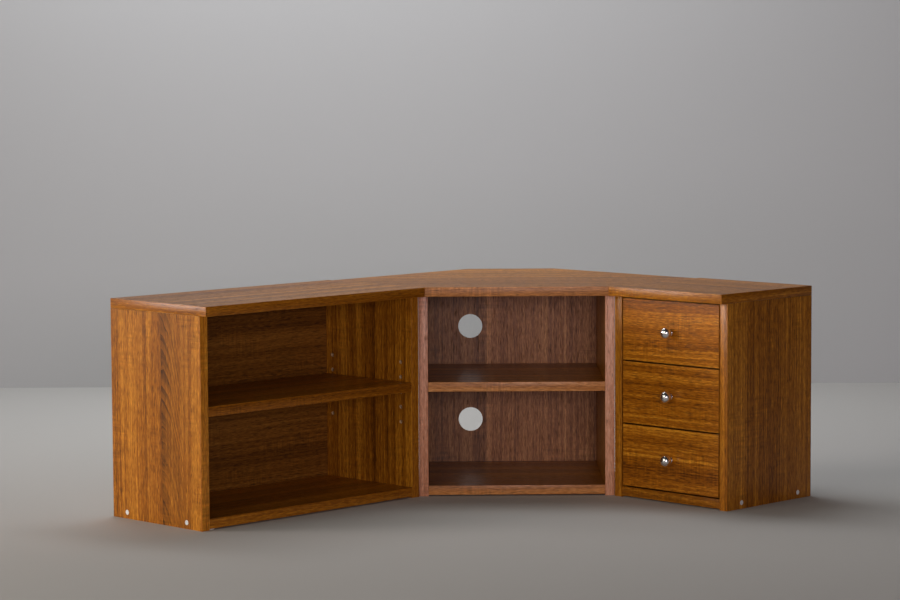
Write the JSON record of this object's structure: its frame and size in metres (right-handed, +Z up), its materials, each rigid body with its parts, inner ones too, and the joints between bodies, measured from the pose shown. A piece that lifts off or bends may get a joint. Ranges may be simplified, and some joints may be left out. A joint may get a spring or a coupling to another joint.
{
  "type": "corner media cabinet",
  "caption": "Corner media unit of wood-grain board: open bookcase, corner cabinet with cable holes, and drawer cabinet with round metal knobs, side by side.",
  "frame": {"origin": "on the floor, under the middle of the unit's outline", "axes": "+X from the bookcase towards the drawer cabinet, +Y from the room towards the corner, +Z up"},
  "size_m": [1.46, 0.9312, 0.45],
  "materials": {
    "laminate": "satin walnut-coloured wood-grain laminate on particle board, edges banded to match",
    "back_laminate": "satin wood-grain foil on thin fibreboard",
    "box_board": "matt wood-grain foil on thin board",
    "chrome": "polished chrome plate",
    "steel": "bright zinc plate",
    "runner_plastic": "matt brown plastic"
  },
  "bodies": {
    "carcass": {"centre_back": "back_laminate", "centre_bottom": "laminate", "centre_left_side": "laminate", "centre_left_side_screw_front": "steel", "centre_left_side_screw_rear": "steel", "centre_right_side": "laminate", "centre_right_side_screw_front": "steel", "centre_right_side_screw_rear": "steel", "centre_shelf": "laminate", "centre_top": "laminate", "drawer_bottom_runner_left": "runner_plastic", "drawer_bottom_runner_right": "runner_plastic", "drawer_middle_runner_left": "runner_plastic", "drawer_middle_runner_right": "runner_plastic", "drawer_top_runner_left": "runner_plastic", "drawer_top_runner_right": "runner_plastic", "left_back": "back_laminate", "left_bottom": "laminate", "left_inner_side": "laminate", "left_inner_side_screw_front": "steel", "left_inner_side_screw_rear": "steel", "left_outer_side": "laminate", "left_outer_side_screw_front": "steel", "left_outer_side_screw_rear": "steel", "left_shelf": "laminate", "left_shelf_pin_inner_front": "steel", "left_shelf_pin_inner_rear": "steel", "left_shelf_pin_outer_front": "steel", "left_shelf_pin_outer_rear": "steel", "left_top": "laminate", "right_back": "back_laminate", "right_bottom": "laminate", "right_inner_side": "laminate", "right_inner_side_screw_front": "steel", "right_inner_side_screw_rear": "steel", "right_outer_side": "laminate", "right_outer_side_screw_front": "steel", "right_outer_side_screw_rear": "steel", "right_top": "laminate"},
    "drawer_bottom": {"drawer_bottom_back": "box_board", "drawer_bottom_front": "laminate", "drawer_bottom_knob": "chrome", "drawer_bottom_knob_screw": "steel", "drawer_bottom_left_side": "box_board", "drawer_bottom_right_side": "box_board", "drawer_bottom_tray": "box_board"},
    "drawer_middle": {"drawer_middle_back": "box_board", "drawer_middle_front": "laminate", "drawer_middle_knob": "chrome", "drawer_middle_knob_screw": "steel", "drawer_middle_left_side": "box_board", "drawer_middle_right_side": "box_board", "drawer_middle_tray": "box_board"},
    "drawer_top": {"drawer_top_back": "box_board", "drawer_top_front": "laminate", "drawer_top_knob": "chrome", "drawer_top_knob_screw": "steel", "drawer_top_left_side": "box_board", "drawer_top_right_side": "box_board", "drawer_top_tray": "box_board"}
  },
  "joints": [
    {"name": "drawer_top_slide", "type": "slide", "parent": "carcass", "child": "drawer_top", "axis": [-0.7071, -0.7071, 0], "range_m": [0, 0.18]},
    {"name": "drawer_middle_slide", "type": "slide", "parent": "carcass", "child": "drawer_middle", "axis": [-0.7071, -0.7071, 0], "range_m": [0, 0.18]},
    {"name": "drawer_bottom_slide", "type": "slide", "parent": "carcass", "child": "drawer_bottom", "axis": [-0.7071, -0.7071, 0], "range_m": [0, 0.18]}
  ]
}
